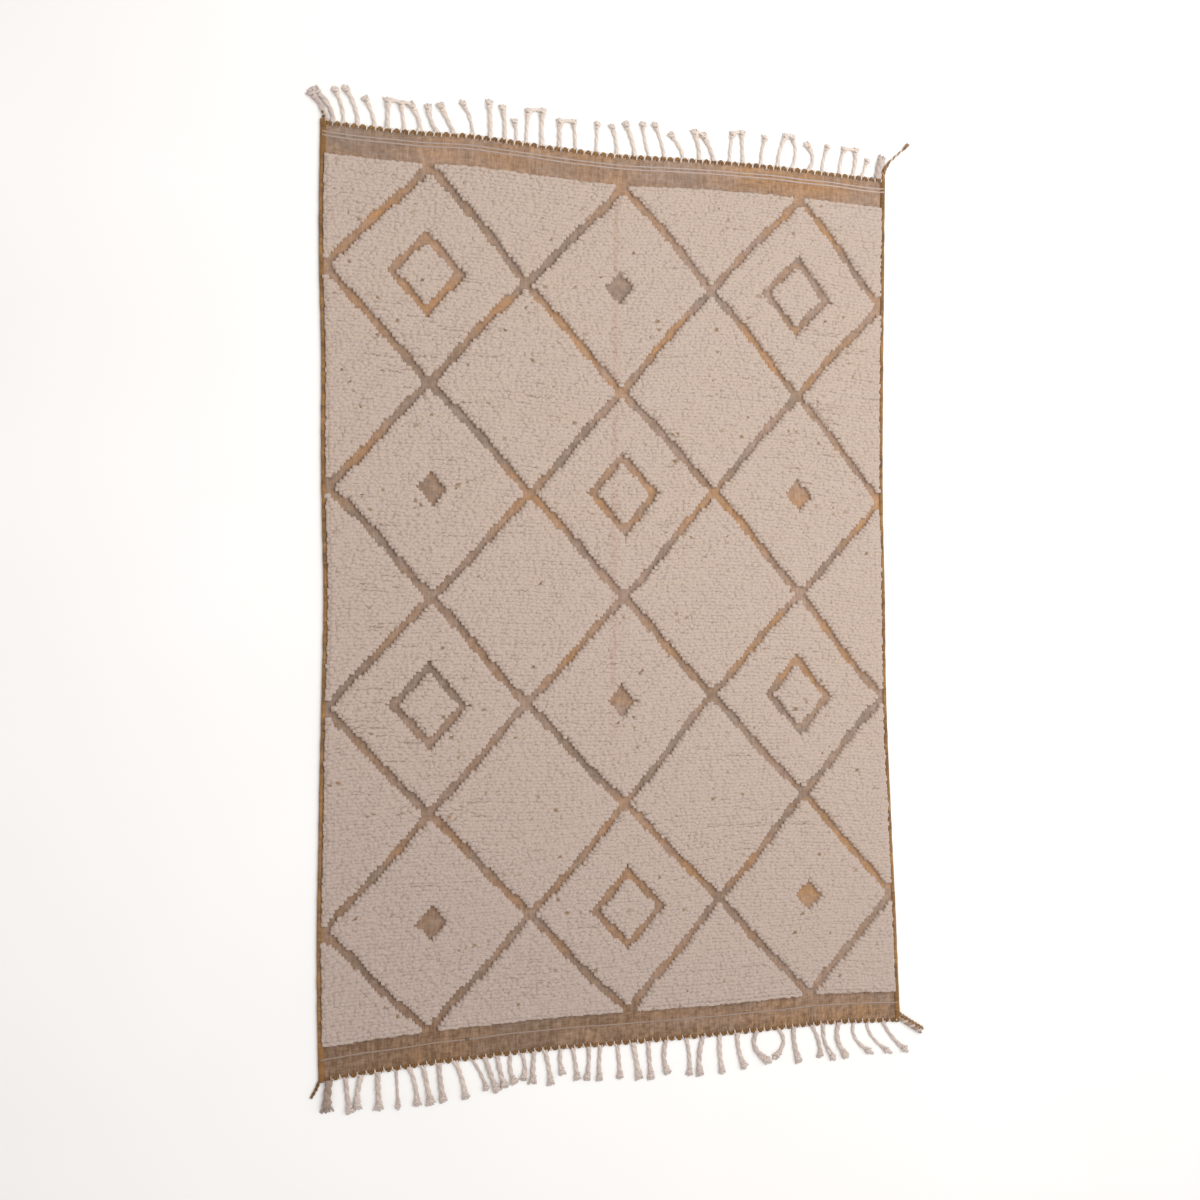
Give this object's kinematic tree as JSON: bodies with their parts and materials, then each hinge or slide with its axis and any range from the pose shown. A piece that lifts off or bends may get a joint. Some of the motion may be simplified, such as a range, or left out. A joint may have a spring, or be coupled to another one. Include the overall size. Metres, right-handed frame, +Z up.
{
  "type": "beni ourain rug",
  "caption": "Flat wool floor rug with raised cream knotted pile in a lozenge lattice on a tan flat-woven ground, overcast sides and knotted tassels at both ends.",
  "frame": {"origin": "on the floor under the middle of the whole rug's bounding box, tassels and tails included", "axes": "+Z up out of the pile, +Y along the rug's length towards its top end, +X across it to the right"},
  "size_m": [1.7362, 2.627, 0.015],
  "materials": {
    "pile_wool": "cream hand-knotted wool pile, cut short and nubby, matt",
    "ground_wool": "tan to grey-brown flat-woven wool ground with banded shade changes, matt",
    "ochre_wool": "dark ochre-brown wool yarn wrapped closely round the side edges, matt",
    "warp_wool": "cream plied wool warp ends, twined at the edge and knotted into tassels, matt"
  },
  "bodies": {
    "root": {"rug_cloth": "pile_wool", "selvedge_left": "ochre_wool", "selvedge_right": "ochre_wool", "fringe_top": "warp_wool", "fringe_bottom": "warp_wool"}
  },
  "joints": []
}
